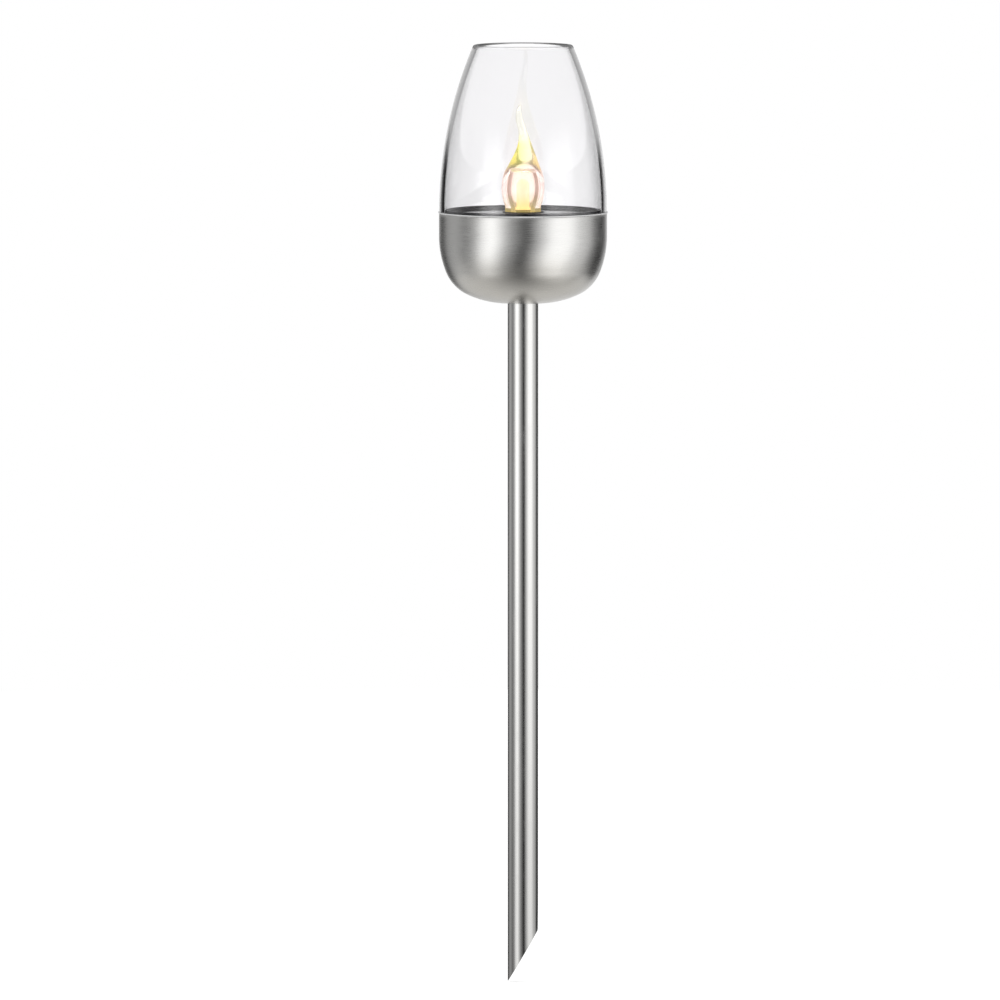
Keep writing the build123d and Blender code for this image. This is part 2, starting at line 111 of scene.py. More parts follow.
class TorchColours(bpy.types.PropertyGroup):
    """Base colours of the finishes."""

    steel: colour("Stainless steel", "Bowl and stake", (0.74, 0.735, 0.72))
    glass: colour("Chimney glass", "Tint of the chimney", (0.977, 0.974, 0.981))
    # the bulb's pinkish tint stands in for its warm glow: painted light
    bulb: colour("Bulb plastic", "Tint of the flame bulb", (0.94, 0.86, 0.83))
    glow: colour("Glow", "Light of the lit bulb", (1.0, 0.74, 0.22))
    bezel: colour("Bezel", "Pale rim under the chimney", (0.7, 0.7, 0.7))
    surround: colour("Surround", "Dark inner part of the bezel", (0.05, 0.05, 0.055))
    cell: colour("Solar cell", "Silicon under the clear cover", (0.012, 0.014, 0.04))
    plastic: colour("Black plastic", "Housing, lid, spigot and switch knob", (0.018, 0.018, 0.019))
    rubber: colour("Rubber", "Seals", (0.05, 0.05, 0.05))
    board: colour("Board", "Solder mask of the circuit boards", (0.02, 0.11, 0.05))
    sleeve: colour("Cell sleeve", "Sleeve of the rechargeable cell", (0.05, 0.26, 0.12))
    zinc: colour("Zinc", "Screws and washer", (0.62, 0.61, 0.58))
    nickel: colour("Nickel", "Contacts and switch frame", (0.66, 0.62, 0.55))
    wire: colour("Wire", "Insulation of the leads", (0.42, 0.02, 0.02))


class TorchStudio(bpy.types.PropertyGroup):
    """Camera, floor and light."""

    camera_distance: distance("Camera distance", "From the stake's axis", 12.0)
    camera_height: distance("Camera height", "Above the spike's tip", 1.01)
    aim_height: distance("Aim height", "Level at the middle of the view", 0.1955)
    aim_side: distance("Aim side", "How far left of the axis the camera stands", 0.0093)
    view_width: distance("View width", "Width of the view at the torch", 0.4049)
    floor_radius: distance("Floor radius", "Radius of the pale floor", 1.6)
    panel_light: FloatProperty(
        name="Panel light", description="Brightness of the studio's soft panels", default=2.4, min=0.0
    )


# ---------------------------------------------------------------- mesh making
def piece_from(name, verts, faces, sharp):
    """A new object from points and faces, facing outwards, smooth but for its sharp edges."""
    mesh = bpy.data.meshes.new(name)
    mesh.from_pydata(verts, [], faces)
    shaper = bmesh.new()
    shaper.from_mesh(mesh)
    bmesh.ops.remove_doubles(shaper, verts=shaper.verts, dist=1e-7)
    bmesh.ops.recalc_face_normals(shaper, faces=shaper.faces)
    shaper.to_mesh(mesh)
    shaper.free()
    return shown(name, mesh, sharp)


def shown(name, mesh, sharp=35.0):
    """An object for a finished mesh, smooth but for edges over the sharp angle in degrees."""
    mesh.polygons.foreach_set("use_smooth", [True] * len(mesh.polygons))
    mesh.set_sharp_from_angle(angle=math.radians(sharp))
    made = bpy.data.objects.new(name, mesh)
    bpy.context.scene.collection.objects.link(made)
    return made


def lathe(name, outline, steps, sharp, centre=None):
    """Turns a closed outline of (radius, height) points about Z.

    centre gives each outline point's sideways shift, for a piece whose axis bends.
    """
    shifts = centre or [0.0] * len(outline)
    verts = []
    for turn in range(steps):
        angle = 2 * math.pi * turn / steps
        for (radius, height), shift in zip(outline, shifts):
            verts.append((shift + radius * math.cos(angle), radius * math.sin(angle), height))
    count = len(outline)
    on_axis = [radius == 0.0 for radius, height in outline]
    faces = []
    for turn in range(steps):
        here = turn * count
        there = (turn + 1) % steps * count
        for one in range(count):
            two = (one + 1) % count
            if on_axis[one] and on_axis[two]:
                continue
            corners = [here + one, there + one, there + two, here + two]
            if on_axis[one]:
                corners.remove(there + one)
            if on_axis[two]:
                corners.remove(there + two)
            faces.append(corners)
    return piece_from(name, verts, faces, sharp)


def arc(start, end, radius, steps):
    """Points of an arc from start to end, without start, that bulges away from the axis."""
    start = Vector(start)
    end = Vector(end)
    chord = end - start
    middle = (start + end) / 2
    rise = math.sqrt(radius**2 - (chord.length / 2) ** 2)
    centre = middle + Vector((-chord.y, chord.x)).normalized() * rise
    first = math.atan2(start.y - centre.y, start.x - centre.x)
    last = math.atan2(end.y - centre.y, end.x - centre.x)
    points = []
    for step in range(1, steps + 1):
        angle = first + (last - first) * step / steps
        points.append((centre.x + radius * math.cos(angle), centre.y + radius * math.sin(angle)))
    return points


def smooth_through(keys, steps):
    """A smooth run through rows of numbers, steps to each gap between two rows."""
    rows = [keys[0], *keys, keys[-1]]
    points = []
    for before, one, two, after in zip(rows, rows[1:], rows[2:], rows[3:]):
        for step in range(steps):
            t = step / steps
            row = []
            for a, b, c, d in zip(before, one, two, after):
                bend = 2 * a - 5 * b + 4 * c - d + t * (3 * (b - c) + d - a)
                row.append(b + 0.5 * t * (c - a + t * bend))
            points.append(tuple(row))
    return [*points, tuple(keys[-1])]


def thicken(line, wall, steps=6):
    """A closed outline: the line, a round lip, the line again inside the wall, and a round foot."""
    inner = []
    for place, point in enumerate(line):
        back = Vector(line[max(place - 1, 0)])
        ahead = Vector(line[min(place + 1, len(line) - 1)])
        along = (ahead - back).normalized()
        inner.append(Vector(point) + Vector((-along.y, along.x)) * wall)
    lip = round_end(line[-2], line[-1], inner[-1], steps)
    foot = round_end(inner[1], inner[0], line[0], steps)
    return [*line, *lip, *[tuple(point) for point in reversed(inner)], *foot]


def round_end(back, start, end, steps):
    """Points of a half circle from start to end, which sets off in the direction from back to start."""
    start = Vector(start)
    end = Vector(end)
    middle = (start + end) / 2
    ahead = (start - Vector(back)).normalized() * (end - start).length / 2
    side = start - middle
    points = []
    for step in range(1, steps):
        angle = math.pi * step / steps
        points.append(tuple(middle + side * math.cos(angle) + ahead * math.sin(angle)))
    return points


def bevelled(outline, size, steps):
    """A closed outline with every corner rounded by a small size."""
    made = []
    count = len(outline)
    for place, point in enumerate(outline):
        here = Vector(point)
        back = Vector(outline[place - 1]) - here
        ahead = Vector(outline[(place + 1) % count]) - here
        reach = min(size, back.length / 2.1, ahead.length / 2.1)
        one = here + back.normalized() * reach
        two = here + ahead.normalized() * reach
        for step in range(steps + 1):
            t = step / steps
            made.append(tuple(one * (1 - t) ** 2 + here * 2 * t * (1 - t) + two * t**2))
    return made


def merged_copy(node, name, sharp=32.0):
    """A smooth-shaded copy of a node of the frame, with its loose triangles joined."""
    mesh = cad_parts[node].data.copy()
    mesh.name = name
    mesh.materials.clear()
    shaper = bmesh.new()
    shaper.from_mesh(mesh)
    bmesh.ops.remove_doubles(shaper, verts=shaper.verts, dist=2e-7)
    shaper.to_mesh(mesh)
    shaper.free()
    if mesh.has_custom_normals:
        mesh.attributes.remove(mesh.attributes["custom_normal"])
    return shown(name, mesh, sharp)


def settle(piece, material, body, slot, *nodes):
    """Gives a piece its finish, its body and the nodes that it stands for; its slot argument is not
    used.
    """
    piece.data.materials.clear()
    piece.data.materials.append(material)
    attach(piece, body)
    if nodes:
        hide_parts(*nodes)


def finish_copies(body, *rows):
    """Finishes copies of the frame's nodes, from rows of node, name, finish and sharp angle."""
    for node, name, finish, *sharp in rows:
        settle(merged_copy(node, name, *sharp), finishes[finish], body, finish, node)


# ---------------------------------------------------------------- nodes
def new_finish(name):
    """A node material and its main shader."""
    material = bpy.data.materials.new(name)
    material.use_nodes = True
    return material, material.node_tree, material.node_tree.nodes["Principled BSDF"]


def feed(tree, node, values):
    """Links sockets to a node's inputs, or sets their plain values, each by its name or place."""
    for key, value in values.items():
        if isinstance(value, bpy.types.NodeSocket):
            tree.links.new(value, node.inputs[key])
        else:
            node.inputs[key].default_value = value


def put(tree, kind, values=None, **settings):
    """A new node with its settings, and its inputs fed."""
    made = tree.nodes.new(kind)
    for key, value in settings.items():
        setattr(made, key, value)
    feed(tree, made, values or {})
    return made


def maths(tree, operation, *values):
    """The output of a Math node, its inputs numbers or sockets."""
    return put(tree, "ShaderNodeMath", dict(enumerate(values)), operation=operation).outputs[0]


def remap(tree, value, from_low, from_high, to_low, to_high):
    """A number carried smoothly from one range to another, with its ends held."""
    values = dict(enumerate((value, from_low, from_high, to_low, to_high)))
    return put(tree, "ShaderNodeMapRange", values, interpolation_type="SMOOTHSTEP").outputs[0]


def between(tree, factor, one, two):
    """A number that goes from one to two by a factor."""
    return put(tree, "ShaderNodeMix", {0: factor, 2: one, 3: two}, data_type="FLOAT").outputs[0]


def blended(tree, factor, one, two, blend="MIX"):
    """A colour that goes from one to two by a factor."""
    values = {0: factor, 6: one, 7: two}
    return put(tree, "ShaderNodeMix", values, data_type="RGBA", blend_type=blend).outputs[2]


def ramp(tree, value, stops, interpolation="EASE"):
    """A colour ramp through (place, colour or grey) stops."""
    made = put(tree, "ShaderNodeValToRGB", {0: value})
    made.color_ramp.interpolation = interpolation
    for place, (at, tone) in enumerate(stops):
        if place < 2:
            stop = made.color_ramp.elements[place]
            stop.position = at
        else:
            stop = made.color_ramp.elements.new(at)
        rgb = (tone,) * 3 if isinstance(tone, float) else tuple(tone)
        stop.color = (*rgb, 1.0)
    return made.outputs[0]


def noise(tree, place, scale, detail, roughness):
    """The value of a noise texture at a place."""
    values = {"Vector": place, "Scale": scale, "Detail": detail, "Roughness": roughness}
    return put(tree, "ShaderNodeTexNoise", values).outputs["Fac"]


def bump(tree, height, strength, depth, normal=None):
    """A bumped normal from a height, over another bumped normal where one is given."""
    values = {"Height": height, "Strength": strength, "Distance": depth}
    if normal:
        values["Normal"] = normal
    return put(tree, "ShaderNodeBump", values).outputs["Normal"]


def vector_of(tree, *numbers):
    """A vector of up to three numbers."""
    return put(tree, "ShaderNodeCombineXYZ", dict(enumerate(numbers))).outputs[0]


def numbers_of(tree, vector):
    """The three numbers of a vector."""
    return put(tree, "ShaderNodeSeparateXYZ", {0: vector}).outputs


def object_place(tree):
    """The object coordinates."""
    return put(tree, "ShaderNodeTexCoord").outputs["Object"]


def round_place(tree, numbers, around, along):
    """Coordinates of a turned piece: around the axis and along its outline, each with its scale."""
    flat = vector_of(tree, numbers[0], numbers[1])
    unit = put(tree, "ShaderNodeVectorMath", {0: flat}, operation="NORMALIZE").outputs[0]
    reach = put(tree, "ShaderNodeVectorMath", {0: flat}, operation="LENGTH").outputs["Value"]
    turn = numbers_of(tree, unit)
    outline = maths(tree, "ADD", numbers[2], reach)
    return vector_of(
        tree,
        maths(tree, "MULTIPLY", turn[0], around),
        maths(tree, "MULTIPLY", turn[1], around),
        maths(tree, "MULTIPLY", outline, along),
    )


def tinted(tree, base, value, amount):
    """A base colour made a little lighter and darker by a value round 0.5."""
    shade = ramp(tree, value, [(0.3, 1.0 - amount), (0.7, 1.0)])
    return blended(tree, 1.0, (*base, 1.0), shade, "MULTIPLY")


# ---------------------------------------------------------------- finishes
def brushed_steel(name, base, around, along, smoothness, depth, low_darkening=0.0):
    """Stainless steel with fine brush lines, faint handling marks and a base colour darker towards the
    bottom.
    """
    material, tree, shader = new_finish(name)
    place = object_place(tree)
    numbers = numbers_of(tree, place)
    lines = noise(tree, round_place(tree, numbers, around, along), 1.0, 3.0, 0.6)
    marks = noise(tree, place, 55.0, 3.0, 0.55)
    cloud = noise(tree, place, 14.0, 2.0, 0.5)
    brushed = tinted(tree, base, lines, 0.10)
    black = (0.0, 0.0, 0.0, 1.0)
    # base colour darker towards the bottom, most at the tip, fading out 0.24 m up
    darker_low = remap(tree, numbers[2], 0.0, 0.24, low_darkening, 0.0)
    grain = remap(tree, lines, 0.3, 0.7, smoothness, smoothness + 0.05)
    haze = remap(tree, marks, 0.52, 0.72, 0.0, 0.07)
    dents = bump(tree, cloud, 0.12, 0.4 * MM)
    look = {
        "Base Color": blended(tree, darker_low, brushed, black, "MULTIPLY"),
        "Metallic": 1.0,
        "Roughness": maths(tree, "ADD", grain, haze),
        "Normal": bump(tree, lines, depth, 0.02 * MM, dents),
    }
    feed(tree, shader, look)
    return material


def clear_glass(name, tint, smear):
    """Clear moulded glass with a faint waviness, a breath of dust and a ground lip at the top."""
    material, tree, shader = new_finish(name)
    place = object_place(tree)
    height = numbers_of(tree, place)[2]
    haze = remap(tree, noise(tree, place, 160.0, 4.0, 0.6), 0.5, 0.75, 0.0, smear)
    lip = remap(tree, height, top_level - 1.6 * MM, top_level - 0.6 * MM, 0.0, 0.35)
    waves = noise(tree, place, 38.0, 1.0, 0.4)
    look = {
        "Base Color": (*tint, 1.0),
        "Transmission Weight": 1.0,
        "IOR": 1.5,
        "Roughness": maths(tree, "ADD", haze, lip),
        "Normal": bump(tree, waves, 0.02, 0.1 * MM),
    }
    feed(tree, shader, look)
    return material


def painted_glow_plastic(name, tint):
    """Clear plastic of the flame bulb, lit from inside by the LED under it and yellow in its cone: a
    painted glow, as emission and base colour on the plastic.
    """
    material, tree, shader = new_finish(name)
    numbers = numbers_of(tree, object_place(tree))
    height = maths(tree, "SUBTRACT", numbers[2], foot_level)
    part = maths(tree, "DIVIDE", height, high("flame_bulb").z - foot_level)
    # painted glow: a band up the bulb where the LED's light looks yellow
    cone = ramp(tree, part, [(0.38, 0.0), (0.46, 1.0), (0.60, 1.0), (0.76, 0.0)])
    # painted lit side: the left flank of that band is brighter than the right
    side = remap(tree, numbers[0], -3.0 * MM, 4.0 * MM, 0.9, 0.15)
    painted_lit_side = maths(tree, "MULTIPLY", cone, side)
    # painted warm tint: pinkish on the body, near white towards the tip
    painted_glow_tint = ramp(tree, part, [(0.55, tint), (0.75, (1.0, 1.0, 0.94))])
    # painted glow: emission colours up the bulb, warm at the foot, pinkish on the body, fading at the
    # tip
    painted_glow_stops = [
        (0.0, (0.60, 0.46, 0.14)),
        (0.08, (0.46, 0.36, 0.20)),
        (0.20, (0.54, 0.35, 0.29)),
        (0.38, (0.54, 0.35, 0.28)),
        (0.50, (0.54, 0.42, 0.28)),
        (0.64, (0.36, 0.33, 0.18)),
        (0.8, (0.11, 0.11, 0.07)),
        (1.0, (0.09, 0.09, 0.06)),
    ]
    warmth = ramp(tree, part, painted_glow_stops)
    # painted glow: yellow base colour and green-yellow emission on the lit flank
    look = {
        "Base Color": blended(tree, painted_lit_side, painted_glow_tint, (1.0, 0.93, 0.3, 1.0)),
        "Transmission Weight": 1.0,
        "IOR": 1.46,
        "Roughness": 0.12,
        "Emission Color": blended(tree, painted_lit_side, warmth, (0.56, 0.68, 0.12, 1.0)),
        "Emission Strength": 0.35,
    }
    feed(tree, shader, look)
    return material


def led_resin(name, glow):
    """Lit resin of the LED, brightest at its dome."""
    material, tree, shader = new_finish(name)
    start = low("bulb_seal").z
    rise = maths(tree, "SUBTRACT", numbers_of(tree, object_place(tree))[2], start)
    part = maths(tree, "DIVIDE", rise, high("led").z - start)
    stops = [(0.0, glow), (0.3, (1.0, 0.88, 0.36)), (0.6, (1.0, 0.97, 0.66))]
    look = {
        "Base Color": (1.0, 0.9, 0.6, 1.0),
        "Roughness": 0.2,
        "Emission Color": ramp(tree, part, stops),
        "Emission Strength": 0.5,
    }
    feed(tree, shader, look)
    return material


def moulded_plastic(name, base, roughness, grain_size=0.35 * MM, shine=0.0, inner=None):
    """Moulded plastic with a fine spark-eroded texture.

    inner is a radius about the stake's axis and the colour of the plastic inside it.
    """
    material, tree, shader = new_finish(name)
    place = object_place(tree)
    grain = noise(tree, place, 1.0 / grain_size, 2.0, 0.5)
    wear = noise(tree, place, 90.0, 3.0, 0.5)
    tone = tinted(tree, base, wear, 0.12)
    if inner:
        radius, inner_base = inner
        edge = 0.05 * MM
        squares = [maths(tree, "MULTIPLY", number, number) for number in numbers_of(tree, place)[:2]]
        reach = maths(tree, "SQRT", maths(tree, "ADD", *squares))
        inside = remap(tree, reach, radius - edge, radius + edge, 1.0, 0.0)
        tone = blended(tree, inside, tone, (*inner_base, 1.0))
    look = {
        "Base Color": tone,
        "Roughness": remap(tree, wear, 0.35, 0.7, roughness, roughness + 0.12),
        "Coat Weight": shine,
        "Coat Roughness": 0.08,
        "Normal": bump(tree, grain, 0.25, 0.03 * MM),
    }
    feed(tree, shader, look)
    return material


def plated_metal(name, base, roughness):
    """Plated small metal parts with fine scratches and a little tarnish."""
    material, tree, shader = new_finish(name)
    place = object_place(tree)
    scratches = noise(tree, place, 900.0, 3.0, 0.7)
    tarnish = noise(tree, place, 240.0, 3.0, 0.5)
    look = {
        "Base Color": tinted(tree, base, tarnish, 0.2),
        "Metallic": 1.0,
        "Roughness": remap(tree, scratches, 0.3, 0.7, roughness, roughness + 0.18),
        "Normal": bump(tree, scratches, 0.15, 0.02 * MM),
    }
    feed(tree, shader, look)
    return material


def silicon(name, base):
    """Solar silicon: dark crystals that differ a little in tone."""
    material, tree, shader = new_finish(name)
    crystals = put(tree, "ShaderNodeTexVoronoi", {"Vector": object_place(tree), "Scale": 420.0})
    tone = put(tree, "ShaderNodeSeparateColor", {0: crystals.outputs["Color"]}).outputs
    deep = tuple(0.45 * part for part in base)
    pale = (base[0] * 1.6, base[1] * 2.2, base[2] * 1.9)
    look = {
        "Base Color": ramp(tree, tone[0], [(0.0, deep), (0.5, base), (1.0, pale)]),
        "Roughness": remap(tree, tone[1], 0.0, 1.0, 0.22, 0.4),
        "Metallic": 0.3,
    }
    feed(tree, shader, look)
    return material


def circuit_board(name, base):
    """Solder mask with copper tracks that show through as paler lines."""
    material, tree, shader = new_finish(name)
    values = {
        "Vector": object_place(tree),
        "Scale": 240.0,
        "Mortar Size": 0.03,
        "Color1": (*base, 1.0),
        "Color2": (*(0.8 * part for part in base), 1.0),
        "Mortar": (*(min(1.0, 2.4 * part) for part in base), 1.0),
    }
    tracks = put(tree, "ShaderNodeTexBrick", values)
    look = {
        "Base Color": tracks.outputs["Color"],
        "Roughness": 0.35,
        "Coat Weight": 0.3,
        "Normal": bump(tree, tracks.outputs["Fac"], 0.3, 0.04 * MM),
    }
    feed(tree, shader, look)
    return material


def cell_sleeve(name, base, zinc):
    """Shrink sleeve of the rechargeable cell: a green body, a pale band and bare metal ends."""
    material, tree, shader = new_finish(name)
    place = object_place(tree)
    start = low("battery").x
    length = high("battery").x - start
    part = maths(tree, "DIVIDE", maths(tree, "SUBTRACT", numbers_of(tree, place)[0], start), length)
    first = 0.022
    last = 0.955
    pale = (0.72, 0.74, 0.72)
    tones = [(0.0, zinc), (first, base), (0.70, pale), (0.74, base), (last, zinc)]
    wrinkles = noise(tree, place, 300.0, 2.0, 0.5)
    look = {
        "Base Color": ramp(tree, part, tones, "CONSTANT"),
        "Metallic": ramp(tree, part, [(0.0, 1.0), (first, 0.0), (last, 1.0)], "CONSTANT"),
        "Roughness": remap(tree, wrinkles, 0.3, 0.7, 0.22, 0.38),
        "Normal": bump(tree, wrinkles, 0.1, 0.05 * MM),
    }
    feed(tree, shader, look)
    return material


finishes = {}


def make_finishes(colours, surround_radius):
    """Makes every finish once and keeps it by name."""
    surround = (surround_radius, colours.surround)
    makers = {
        "bowl_steel": (brushed_steel, colours.steel, 5.0, 5200.0, 0.26, 0.05),
        "tube_steel": (brushed_steel, colours.steel, 60.0, 26.0, 0.18, 0.1, 0.3),
        "chimney_glass": (clear_glass, colours.glass, 0.012),
        "panel_cover": (clear_glass, (0.99, 0.99, 1.0), 0.12),
        "bulb_plastic": (painted_glow_plastic, colours.bulb),
        "led_resin": (led_resin, colours.glow),
        "bezel_plastic": (moulded_plastic, colours.bezel, 0.3, 0.5 * MM, 0.3, surround),
        "black_plastic": (moulded_plastic, colours.plastic, 0.42),
        "chip_plastic": (moulded_plastic, (0.02, 0.02, 0.02), 0.5, 0.15 * MM),
        "seal_rubber": (moulded_plastic, colours.rubber, 0.62, 0.2 * MM),
        "wire_insulation": (moulded_plastic, colours.wire, 0.4, 0.3 * MM),
        "solar_cell": (silicon, colours.cell),
        "silver_paste": (plated_metal, (0.72, 0.72, 0.74), 0.35),
        "circuit_board": (circuit_board, colours.board),
        "battery_sleeve": (cell_sleeve, colours.sleeve, colours.zinc),
        "zinc_screws": (plated_metal, colours.zinc, 0.22),
        "nickel_strip": (plated_metal, colours.nickel, 0.2),
    }
    for name, (maker, *values) in makers.items():
        finishes[name] = maker(name, *values)


# ---------------------------------------------------------------- geometry nodes
def new_rule(name, numbers):
    """An empty geometry tree with named number inputs and a material input."""
    tree = bpy.data.node_groups.new(name, "GeometryNodeTree")
    tree.interface.new_socket("Geometry", in_out="INPUT", socket_type="NodeSocketGeometry")
    for label in numbers:
        tree.interface.new_socket(label, in_out="INPUT", socket_type="NodeSocketFloat")
    tree.interface.new_socket("Material", in_out="INPUT", socket_type="NodeSocketMaterial")
    tree.interface.new_socket("Geometry", in_out="OUTPUT", socket_type="NodeSocketGeometry")
    return tree, tree.nodes.new("NodeGroupInput"), tree.nodes.new("NodeGroupOutput")


def end_rule(tree, given, result, geometry):
    """Ends a tree in Realize Instances and Set Material."""
    real = put(tree, "GeometryNodeRealizeInstances", {0: geometry})
    values = {"Geometry": real.outputs[0], "Material": given.outputs["Material"]}
    coat = put(tree, "GeometryNodeSetMaterial", values)
    tree.links.new(coat.outputs[0], result.inputs[0])


def ruled_piece(name, tree, values, material):
    """Runs a geometry tree on an empty mesh and keeps its result as a plain mesh."""
    holder = bpy.data.objects.new(name + "_rule", bpy.data.meshes.new(name + "_rule"))
    bpy.context.scene.collection.objects.link(holder)
    run = holder.modifiers.new(name, "NODES")
    run.node_group = tree
    for item in tree.interface.items_tree:
        if item.in_out == "INPUT" and item.name in values:
            run[item.identifier] = values[item.name]
        if item.in_out == "INPUT" and item.name == "Material":
            run[item.identifier] = material
    graph = bpy.context.evaluated_depsgraph_get()
    mesh = bpy.data.meshes.new_from_object(holder.evaluated_get(graph))
    holder.modifiers.remove(run)
    bpy.data.objects.remove(holder)
    mesh.name = name
    return shown(name, mesh)


def finger_rule():
    """Parallel bars that fill a ring, cut to its two edges, on both halves of the ring."""
    labels = ("Outer", "Inner", "Gap", "Pitch", "Width", "Thickness", "Level", "Turn")
    tree, given, result = new_rule("Cell fingers", labels)
    size = {label: given.outputs[label] for label in labels}
    across_ring = maths(tree, "MULTIPLY", size["Outer"], 2.0)
    count = maths(tree, "FLOOR", maths(tree, "DIVIDE", across_ring, size["Pitch"]))
    run = maths(tree, "MULTIPLY", maths(tree, "SUBTRACT", count, 1.0), size["Pitch"])
    values = {
        "Count": count,
        "Start Location": vector_of(tree, maths(tree, "MULTIPLY", run, -0.5)),
        "Offset": vector_of(tree, size["Pitch"]),
    }
    line = put(tree, "GeometryNodeMeshLine", values)
    across = numbers_of(tree, put(tree, "GeometryNodeInputPosition").outputs[0])[0]

    def edge(radius):
        """How far a circle of this radius reaches at the bar's place."""
        squares = [maths(tree, "POWER", number, 2.0) for number in (radius, across)]
        return maths(tree, "SQRT", maths(tree, "MAXIMUM", maths(tree, "SUBTRACT", *squares), 0.0))

    far = edge(size["Outer"])
    near = maths(tree, "MAXIMUM", edge(size["Inner"]), maths(tree, "MULTIPLY", size["Gap"], 0.5))
    middle = maths(tree, "MULTIPLY", maths(tree, "ADD", far, near), 0.5)
    length = put(tree, "GeometryNodeCaptureAttribute", {"Geometry": line.outputs[0]})
    length.capture_items.new("FLOAT", "Length")
    feed(tree, length, {"Length": maths(tree, "SUBTRACT", far, near)})
    spot = vector_of(tree, across, middle, size["Level"])
    values = {"Geometry": length.outputs["Geometry"], "Position": spot}
    moved = put(tree, "GeometryNodeSetPosition", values)
    bar = put(tree, "GeometryNodeMeshCube", {"Size": (1.0, 1.0, 1.0)})
    scale = vector_of(tree, size["Width"], length.outputs["Length"], size["Thickness"])
    values = {"Points": moved.outputs[0], "Instance": bar.outputs["Mesh"], "Scale": scale}
    placed = put(tree, "GeometryNodeInstanceOnPoints", values)
    joined = put(tree, "GeometryNodeJoinGeometry")
    for half in (0.0, math.pi):
        turn = vector_of(tree, 0.0, 0.0, maths(tree, "ADD", size["Turn"], half))
        values = {"Geometry": placed.outputs[0], "Rotation": turn}
        turned = put(tree, "GeometryNodeTransform", values)
        tree.links.new(turned.outputs[0], joined.inputs[0])
    end_rule(tree, given, result, joined.outputs[0])
    return tree


# ---------------------------------------------------------------- the pieces
class TORCH_OT_stake(bpy.types.Operator):
    """Make the thin steel tube with its oblique spike"""

    bl_idname = "torch.stake"
    bl_label = "Stake tube"

    def execute(self, context):
        sizes = context.scene.torch_sizes
        radius = high("stake_tube").x
        top = high("stake_tube").z
        slope = math.tan(sizes.spike_angle)
        lip = 0.12 * MM
        walls = (
            (radius - lip, 0.0),
            (radius, lip),
            (radius, None),
            (radius - sizes.tube_wall, None),
            (radius - sizes.tube_wall, lip),
            (radius - sizes.tube_wall + lip, 0.0),
        )
        rows = 24
        columns = []
        for turn in range(sizes.ring_steps):
            angle = 2 * math.pi * turn / sizes.ring_steps
            column = []
            for reach, above in walls:
                x = reach * math.cos(angle)
                y = reach * math.sin(angle)
                cut = (x + radius) * slope
                if above is not None:
                    column.append((x, y, cut + above))
                    continue
                steps = range(1, rows + 1) if reach == radius else range(rows, 0, -1)
                for step in steps:
                    column.append((x, y, cut + lip + (top - cut - lip) * step / rows))
            columns.append(column)
        count = len(columns[0])
        verts = [point for column in columns for point in column]
        faces = []
        for turn in range(sizes.ring_steps):
            here = turn * count
            there = (turn + 1) % sizes.ring_steps * count
            for one in range(count):
                two = (one + 1) % count
                faces.append((here + one, there + one, there + two, here + two))
        tube = piece_from("stake_tube_shell", verts, faces, 28.0)
        settle(tube, finishes["tube_steel"], "stake", "stainless", "stake_tube")
        return {"FINISHED"}


class TORCH_OT_bowl(bpy.types.Operator):
    """Make the spun steel bowl with its rounded rim"""

    bl_idname = "torch.bowl"
    bl_label = "Bowl"

    def execute(self, context):
        sizes = context.scene.torch_sizes
        radius = high("bowl").x
        wall = sizes.bowl_wall
        screw_hole = 1.7 * MM
        flat = 7.0 * MM
        corner = (24.0 * MM, bowl_level + 4.2 * MM)
        corner_arc = 17.3 * MM
        side = rim_level - 9.5 * MM
        side_arc = 37.9 * MM
        side_drop = 13.0 * MM
        turn_in = (radius - side_arc + math.sqrt(side_arc**2 - side_drop**2), side - side_drop)
        rise = corner[1] - bowl_level
        bottom_arc = ((corner[0] - flat) ** 2 + rise**2) / (2 * rise)
        line = [(screw_hole, bowl_level), (flat / 2, bowl_level), (flat, bowl_level)]
        line += arc(line[-1], corner, bottom_arc, 14)
        line += arc(corner, turn_in, corner_arc, 16)
        line += arc(turn_in, (radius, side), side_arc, 12)
        side_steps = 6
        side_height = rim_level - wall / 2 - side
        for step in range(1, side_steps + 1):
            line.append((radius, side + side_height * step / side_steps))
        bowl = lathe("bowl_shell", thicken(line, wall), sizes.ring_steps, 40.0)
        settle(bowl, finishes["bowl_steel"], "head", "stainless", "bowl")
        return {"FINISHED"}


class TORCH_OT_spigot(bpy.types.Operator):
    """Finish the spigot, its screw and its washer"""

    bl_idname = "torch.spigot"
    bl_label = "Spigot"

    def execute(self, context):
        finish_copies(
            "head",
            ("spigot", "spigot_plug", "black_plastic"),
            ("spigot_screw", "spigot_screw_plated", "zinc_screws"),
            ("spigot_washer", "spigot_washer_plated", "zinc_screws"),
        )
        return {"FINISHED"}


class TORCH_OT_chimney(bpy.types.Operator):
    """Make the clear chimney with its rounded rim"""

    bl_idname = "torch.chimney"
    bl_label = "Chimney"

    def execute(self, context):
        sizes = context.scene.torch_sizes
        foot = high("chimney").x
        wall = sizes.chimney_wall
        rim = foot - 13.6 * MM
        straight = 3.0 * MM
        chimney_steps = 256
        start = Vector((foot, foot_level + straight))
        belly = Vector((foot - 3.7 * MM, foot_level + 35.6 * MM))
        end = Vector((rim, top_level - 0.3 * wall))
        radius = circle_radius(start, belly, end)
        line = [(foot, foot_level), (foot, foot_level + straight / 2), tuple(start)]
        line += arc(start, end, radius, 56)
        outline = thicken(line, wall, steps=10)
        # keeps the rounded rim and foot inside the chimney's height
        drop = top_level - max(level for reach, level in outline)
        outline = [(reach, max(min(level, level + drop), foot_level)) for reach, level in outline]
        chimney = lathe("chimney_shade", outline, chimney_steps, 60.0)
        settle(chimney, finishes["chimney_glass"], "shade", "clear_glass", "chimney")
        return {"FINISHED"}


